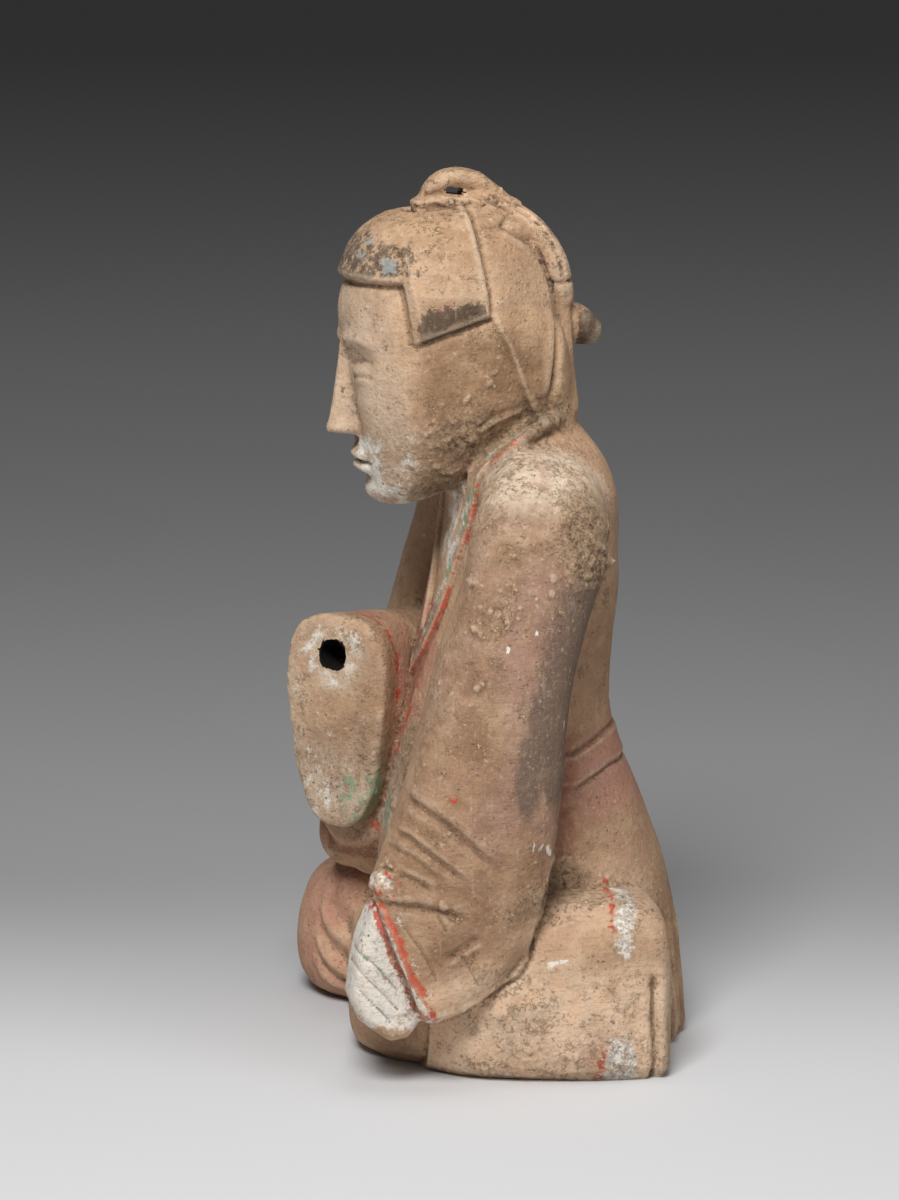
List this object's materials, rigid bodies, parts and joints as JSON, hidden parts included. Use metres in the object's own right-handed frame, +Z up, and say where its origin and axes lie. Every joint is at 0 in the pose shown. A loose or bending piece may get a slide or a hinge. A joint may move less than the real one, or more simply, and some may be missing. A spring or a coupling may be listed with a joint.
{
  "type": "seated pottery figure",
  "caption": "Kneeling attendant of fired clay in a wide-sleeved robe, the right cuff raised with a socket, the hair looped on the crown.",
  "frame": {"origin": "on the flat underside, on the middle plane of the body, under the front of the neck", "axes": "+Z up; the figure faces -Y; its left hand is at +X"},
  "size_m": [0.2078, 0.1627, 0.3603],
  "materials": {
    "fired_clay": "unglazed buff earthenware, dry and matte, under loess soil with worn traces of pink, red, white, green and black paint"
  },
  "bodies": {
    "root": {"seated_figure": "fired_clay"}
  },
  "joints": []
}
